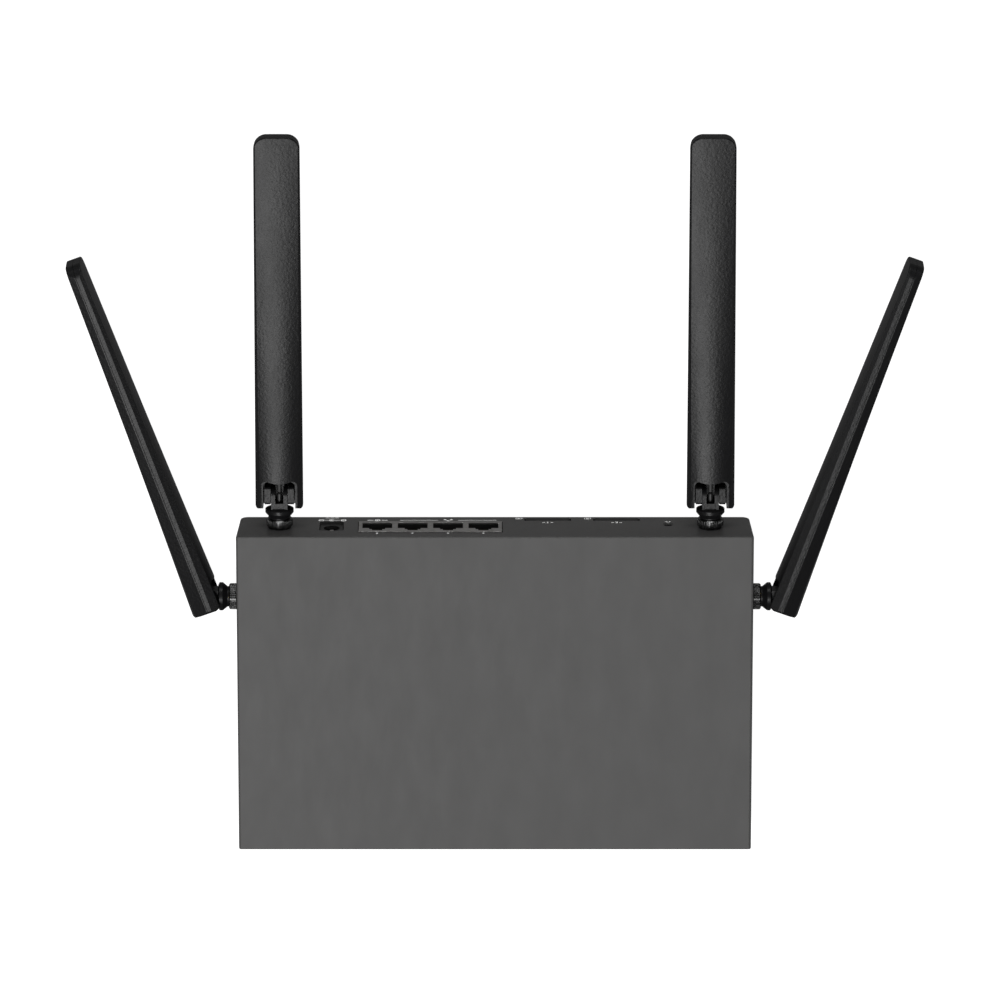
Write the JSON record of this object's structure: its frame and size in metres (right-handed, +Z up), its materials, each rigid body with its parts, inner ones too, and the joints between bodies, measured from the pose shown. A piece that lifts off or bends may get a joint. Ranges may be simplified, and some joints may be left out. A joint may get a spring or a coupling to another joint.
{
  "type": "wireless router",
  "caption": "Slim flat box router on rubber feet, with a rear row of sockets and card slots, and hinged, swivelling paddle antennas on its rear and sides.",
  "frame": {"origin": "on the surface it stands on, midway between the front of the case and the tips of the rear antennas, and midway between the left and right antennas", "axes": "+X to the right seen from the front, +Y to the rear where the sockets are, +Z up"},
  "size_m": [0.3354, 0.291, 0.0278],
  "materials": {
    "case_plastic": "satin dark grey, very fine texture",
    "base_plastic": "semi-gloss dark grey, fine texture",
    "foot_rubber": "matt black rubber",
    "screw_steel": "blackened steel",
    "board_resin": "green solder mask",
    "nickel": "dull bright nickel plate",
    "socket_plastic": "black moulding",
    "gold_contact": "gold-plated",
    "spring_steel": "bright spring steel",
    "chip_resin": "black epoxy",
    "pad_rubber": "soft grey silicone",
    "sink_aluminium": "bead-blasted",
    "can_tin": "tinned steel",
    "capacitor_sleeve": "black sleeve",
    "lamp_lens": "clear lens",
    "guide_clear": "frosted clear acrylic",
    "lead_jacket": "black jacket",
    "jack_brass": "gold-plated brass",
    "nut_black": "black knurled ring",
    "antenna_plastic": "black, fine pebble grain",
    "pin_steel": "bright pin"
  },
  "bodies": {
    "case": {"top_lid": "case_plastic", "base_shell": "base_plastic", "rubber_feet": "foot_rubber", "case_screws": "screw_steel", "main_board": "board_resin", "board_screws": "screw_steel", "ethernet_shield": "nickel", "ethernet_housing": "socket_plastic", "ethernet_contacts": "gold_contact", "power_jack_housing": "socket_plastic", "power_jack_pin": "nickel", "power_jack_spring": "spring_steel", "sim_frames": "socket_plastic", "sim_shells": "nickel", "sim_contacts": "gold_contact", "reset_switch_body": "socket_plastic", "processor": "chip_resin", "thermal_pad": "pad_rubber", "heat_sink": "sink_aluminium", "shield_cans": "can_tin", "modem_module": "can_tin", "memory_chips": "chip_resin", "power_coils": "chip_resin", "magnetics": "chip_resin", "capacitors": "capacitor_sleeve", "status_leds": "lamp_lens", "light_guide": "guide_clear", "antenna_leads": "lead_jacket", "lead_plugs": "jack_brass", "antenna_jacks": "nut_black", "jack_lock_nuts": "jack_brass", "coupling_nuts": "nut_black", "plug_ferrules": "jack_brass"},
    "reset_button": {"reset_plunger": "socket_plastic"},
    "sim_catch_1": {"sim_slider_1": "socket_plastic"},
    "sim_catch_2": {"sim_slider_2": "socket_plastic"},
    "left_rear_swivel": {"left_rear_swivel_fork": "antenna_plastic", "left_rear_fork_lead": "lead_jacket"},
    "left_rear_paddle": {"left_rear_paddle_front": "antenna_plastic", "left_rear_paddle_back": "antenna_plastic", "left_rear_hinge_pins": "pin_steel", "left_rear_radiator": "chip_resin"},
    "right_rear_swivel": {"right_rear_swivel_fork": "antenna_plastic", "right_rear_fork_lead": "lead_jacket"},
    "right_rear_paddle": {"right_rear_paddle_front": "antenna_plastic", "right_rear_paddle_back": "antenna_plastic", "right_rear_hinge_pins": "pin_steel", "right_rear_radiator": "chip_resin"},
    "left_side_swivel": {"left_side_swivel_fork": "antenna_plastic", "left_side_fork_lead": "lead_jacket"},
    "left_side_paddle": {"left_side_paddle_front": "antenna_plastic", "left_side_paddle_back": "antenna_plastic", "left_side_hinge_pins": "pin_steel", "left_side_radiator": "chip_resin"},
    "right_side_swivel": {"right_side_swivel_fork": "antenna_plastic", "right_side_fork_lead": "lead_jacket"},
    "right_side_paddle": {"right_side_paddle_front": "antenna_plastic", "right_side_paddle_back": "antenna_plastic", "right_side_hinge_pins": "pin_steel", "right_side_radiator": "chip_resin"}
  },
  "joints": [
    {"name": "reset_press", "type": "slide", "parent": "case", "child": "reset_button", "axis": [0, -1, 0], "range_m": [0, 0.0004], "stiffness_N_per_m": 400, "springref_m": -0.002},
    {"name": "sim_catch_1_push", "type": "slide", "parent": "case", "child": "sim_catch_1", "axis": [0, -1, 0], "range_m": [0, 0.0015], "stiffness_N_per_m": 250, "springref_m": -0.003},
    {"name": "sim_catch_2_push", "type": "slide", "parent": "case", "child": "sim_catch_2", "axis": [0, -1, 0], "range_m": [0, 0.0015], "stiffness_N_per_m": 250, "springref_m": -0.003},
    {"name": "left_rear_swivel_turn", "type": "hinge", "parent": "case", "child": "left_rear_swivel", "pos_m": [-0.085, -0.00105, 0.0148], "axis": [0, -1, 0], "range_deg": [-90, 90]},
    {"name": "left_rear_bend", "type": "hinge", "parent": "left_rear_swivel", "child": "left_rear_paddle", "pos_m": [-0.085, -0.00105, 0.0148], "axis": [1, 0, 0], "range_deg": [0, 90]},
    {"name": "left_side_swivel_turn", "type": "hinge", "parent": "case", "child": "left_side_swivel", "pos_m": [-0.11482, -0.04345, 0.0148], "axis": [1, 0, 0], "range_deg": [0, 180]},
    {"name": "left_side_bend", "type": "hinge", "parent": "left_side_swivel", "child": "left_side_paddle", "pos_m": [-0.11482, -0.04345, 0.0148], "axis": [0, 0, -1], "range_deg": [-70, 20]},
    {"name": "right_rear_swivel_turn", "type": "hinge", "parent": "case", "child": "right_rear_swivel", "pos_m": [0.085, -0.00105, 0.0148], "axis": [0, 1, 0], "range_deg": [-90, 90]},
    {"name": "right_rear_bend", "type": "hinge", "parent": "right_rear_swivel", "child": "right_rear_paddle", "pos_m": [0.085, -0.00105, 0.0148], "axis": [1, 0, 0], "range_deg": [0, 90]},
    {"name": "right_side_swivel_turn", "type": "hinge", "parent": "case", "child": "right_side_swivel", "pos_m": [0.11482, -0.04345, 0.0148], "axis": [1, 0, 0], "range_deg": [0, 180]},
    {"name": "right_side_bend", "type": "hinge", "parent": "right_side_swivel", "child": "right_side_paddle", "pos_m": [0.11482, -0.04345, 0.0148], "axis": [0, 0, 1], "range_deg": [-70, 20]}
  ]
}
